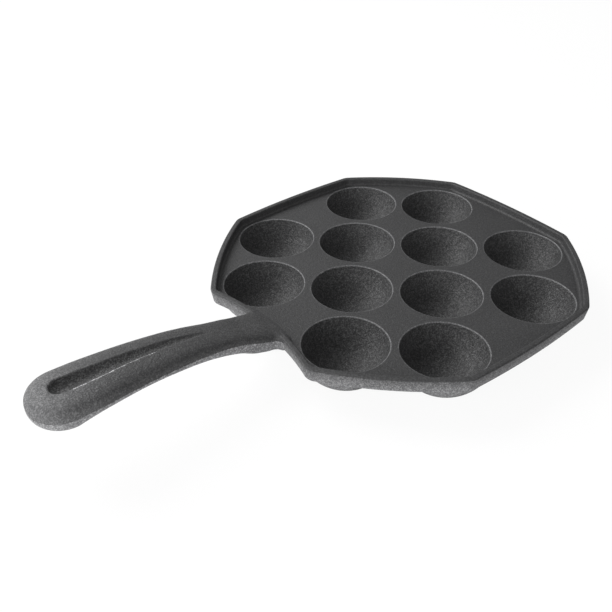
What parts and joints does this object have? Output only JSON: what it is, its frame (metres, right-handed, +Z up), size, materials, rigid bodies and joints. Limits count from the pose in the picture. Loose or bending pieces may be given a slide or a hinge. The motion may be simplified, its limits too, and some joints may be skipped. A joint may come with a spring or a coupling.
{
  "type": "aebleskiver pan",
  "caption": "Cast iron stovetop pan with round wells for filled pancake balls, a low raised rim and a solid handle with a thumb channel.",
  "frame": {"origin": "on the plane that the cups stand on, under the middle of the pan's whole length with its handle", "axes": "+X from the grip towards the pan's far side, along the handle's middle; +Z up out of the wells; +Y to the left when looking along +X"},
  "size_m": [0.3604, 0.2258, 0.0509],
  "materials": {
    "seasoned_iron": "pre-seasoned sand-cast skin, matte with a fine grain"
  },
  "bodies": {
    "root": {"griddle_deck": "seasoned_iron", "rim": "seasoned_iron", "handle": "seasoned_iron", "well_cup_01": "seasoned_iron", "well_cup_02": "seasoned_iron", "well_cup_03": "seasoned_iron", "well_cup_04": "seasoned_iron", "well_cup_05": "seasoned_iron", "well_cup_06": "seasoned_iron", "well_cup_07": "seasoned_iron", "well_cup_08": "seasoned_iron", "well_cup_09": "seasoned_iron", "well_cup_10": "seasoned_iron", "well_cup_11": "seasoned_iron", "well_cup_12": "seasoned_iron"}
  },
  "joints": []
}
